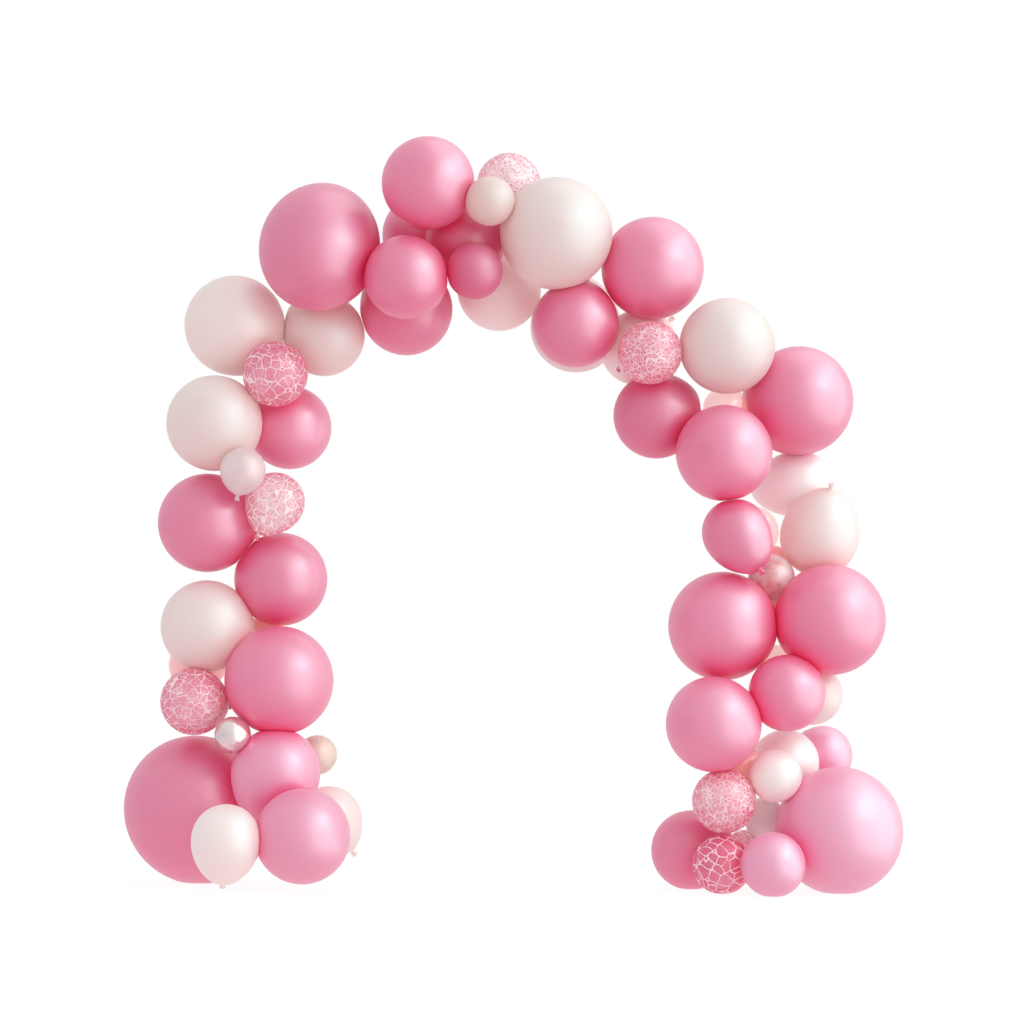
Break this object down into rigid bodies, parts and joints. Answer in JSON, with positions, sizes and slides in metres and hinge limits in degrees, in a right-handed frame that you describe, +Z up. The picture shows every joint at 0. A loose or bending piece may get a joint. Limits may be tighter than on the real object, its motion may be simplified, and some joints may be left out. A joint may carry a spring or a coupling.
{
  "type": "balloon garland",
  "caption": "Free-standing arch of pink, white and crackle-print balloons clustered along a curved spine, fullest at the feet, tall and wide enough to walk through.",
  "frame": {"origin": "on the floor, under the middle of the arch's bounding box", "axes": "+X across the arch towards the huge pink balloon's leg, +Y from the front to the back, +Z up"},
  "size_m": [2.157, 0.6836, 2.0597],
  "materials": {
    "pink_latex": "opaque pastel pink latex, soft sheen",
    "white_latex": "opaque warm white latex, soft sheen",
    "blush_latex": "slightly see-through blush latex",
    "pearl_latex": "pearl latex with a silvery shimmer",
    "gold_latex": "pale gold pearl latex",
    "clear_latex": "clear latex with a pink cast, glossy",
    "pink_crackle": "see-through pink latex printed all over with a white crackle",
    "clear_crackle": "clear latex printed all over with a pink and white crackle"
  },
  "bodies": {
    "root": {"crown_back_pink": "pink_latex", "crown_clear_crackle": "clear_crackle", "crown_front_pink": "pink_latex", "crown_inner_pink": "pink_latex", "crown_inner_white": "white_latex", "crown_large_white": "white_latex", "crown_lower_pink": "pink_latex", "crown_lower_white": "white_latex", "crown_middle_pink": "pink_latex", "crown_right_pink": "pink_latex", "crown_small_pink": "pink_latex", "crown_small_white": "white_latex", "crown_top_pink": "pink_latex", "left_foot_back_white": "white_latex", "left_foot_crackle": "pink_crackle", "left_foot_floor_pink": "pink_latex", "left_foot_front_white": "white_latex", "left_foot_giant_pink": "pink_latex", "left_foot_gold": "gold_latex", "left_foot_pearl": "pearl_latex", "left_foot_upper_pink": "pink_latex", "left_leg_blush": "blush_latex", "left_leg_clear_crackle": "clear_crackle", "left_leg_large_pink": "pink_latex", "left_leg_lower_pink": "pink_latex", "left_leg_lower_white": "white_latex", "left_leg_middle_pink": "pink_latex", "left_leg_pearl": "pearl_latex", "left_shoulder_crackle": "pink_crackle", "left_shoulder_huge_pink": "pink_latex", "left_shoulder_inner_pink": "pink_latex", "left_shoulder_inner_white": "white_latex", "left_shoulder_outer_white": "white_latex", "left_shoulder_upper_white": "white_latex", "right_foot_back_crackle": "pink_crackle", "right_foot_back_pink": "pink_latex", "right_foot_front_pink": "pink_latex", "right_foot_front_white": "white_latex", "right_foot_huge_pink": "pink_latex", "right_foot_inner_pink": "pink_latex", "right_foot_lower_crackle": "pink_crackle", "right_foot_pearl": "pearl_latex", "right_foot_upper_crackle": "pink_crackle", "right_foot_upper_white": "white_latex", "right_leg_back_white": "white_latex", "right_leg_clear": "clear_latex", "right_leg_front_pink": "pink_latex", "right_leg_inner_pink": "pink_latex", "right_leg_lower_pink": "pink_latex", "right_leg_outer_pink": "pink_latex", "right_leg_pear_white": "white_latex", "right_leg_pearl": "pearl_latex", "right_leg_upper_pink": "pink_latex", "right_shoulder_crackle": "pink_crackle", "right_shoulder_front_pink": "pink_latex", "right_shoulder_inner_pink": "pink_latex", "right_shoulder_inner_white": "white_latex", "right_shoulder_outer_pink": "pink_latex", "right_shoulder_outer_white": "white_latex", "right_shoulder_white": "white_latex"}
  },
  "joints": []
}
